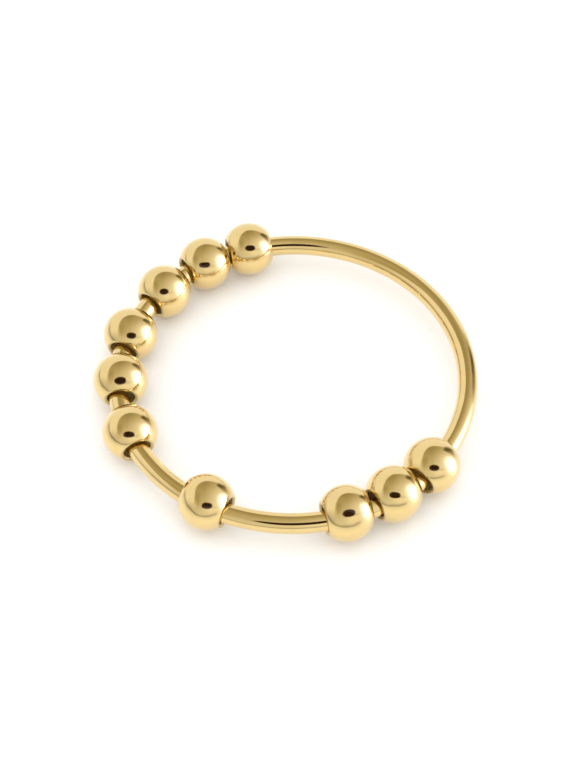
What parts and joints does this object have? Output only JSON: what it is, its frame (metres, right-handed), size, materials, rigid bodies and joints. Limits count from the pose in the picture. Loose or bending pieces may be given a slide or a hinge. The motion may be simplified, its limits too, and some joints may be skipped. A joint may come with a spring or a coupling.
{
  "type": "spinner ring",
  "caption": "Finger ring made of one closed ring of round wire with loose round hollow beads that slide and spin along it.",
  "frame": {"origin": "on the ring's axis, in the plane that the beads rest on when the ring lies flat", "axes": "+Z along the ring's axis, upwards from the resting plane; bead_01 lies 104.6 degrees anticlockwise from +X"},
  "size_m": [0.0207, 0.0209, 0.003],
  "materials": {
    "band_gold": "mirror-polished yellow gold plating on brass wire",
    "bead_gold": "mirror-polished yellow gold plating on hollow brass beads"
  },
  "bodies": {
    "band": {"band": "band_gold"},
    "bead_01": {"bead_01": "bead_gold"},
    "bead_02": {"bead_02": "bead_gold"},
    "bead_03": {"bead_03": "bead_gold"},
    "bead_04": {"bead_04": "bead_gold"},
    "bead_05": {"bead_05": "bead_gold"},
    "bead_06": {"bead_06": "bead_gold"},
    "bead_07": {"bead_07": "bead_gold"},
    "bead_08": {"bead_08": "bead_gold"},
    "bead_09": {"bead_09": "bead_gold"},
    "bead_10": {"bead_10": "bead_gold"}
  },
  "joints": [
    {"name": "row_slide", "type": "hinge", "parent": "band", "child": "bead_01", "pos_m": [0, 0, 0.0015], "axis": [0, 0, 1], "continuous": true},
    {"name": "gap_02", "type": "hinge", "parent": "bead_01", "child": "bead_02", "pos_m": [0, 0, 0.0015], "axis": [0, 0, 1], "range_deg": [0, 14.2]},
    {"name": "gap_03", "type": "hinge", "parent": "bead_02", "child": "bead_03", "pos_m": [0, 0, 0.0015], "axis": [0, 0, 1], "range_deg": [-1.9, 14.2]},
    {"name": "gap_04", "type": "hinge", "parent": "bead_03", "child": "bead_04", "pos_m": [0, 0, 0.0015], "axis": [0, 0, 1], "range_deg": [-5.4, 14.2]},
    {"name": "gap_05", "type": "hinge", "parent": "bead_04", "child": "bead_05", "pos_m": [0, 0, 0.0015], "axis": [0, 0, 1], "range_deg": [-2.8, 14.2]},
    {"name": "gap_06", "type": "hinge", "parent": "bead_05", "child": "bead_06", "pos_m": [0, 0, 0.0015], "axis": [0, 0, 1], "range_deg": [-5.6, 14.2]},
    {"name": "gap_07", "type": "hinge", "parent": "bead_06", "child": "bead_07", "pos_m": [0, 0, 0.0015], "axis": [0, 0, 1], "range_deg": [-21.3, 14.2]},
    {"name": "gap_08", "type": "hinge", "parent": "bead_07", "child": "bead_08", "pos_m": [0, 0, 0.0015], "axis": [0, 0, 1], "range_deg": [-29.1, 14.2]},
    {"name": "gap_09", "type": "hinge", "parent": "bead_08", "child": "bead_09", "pos_m": [0, 0, 0.0015], "axis": [0, 0, 1], "range_deg": [0, 14.2]},
    {"name": "gap_10", "type": "hinge", "parent": "bead_09", "child": "bead_10", "pos_m": [0, 0, 0.0015], "axis": [0, 0, 1], "range_deg": [0, 14.2]}
  ]
}
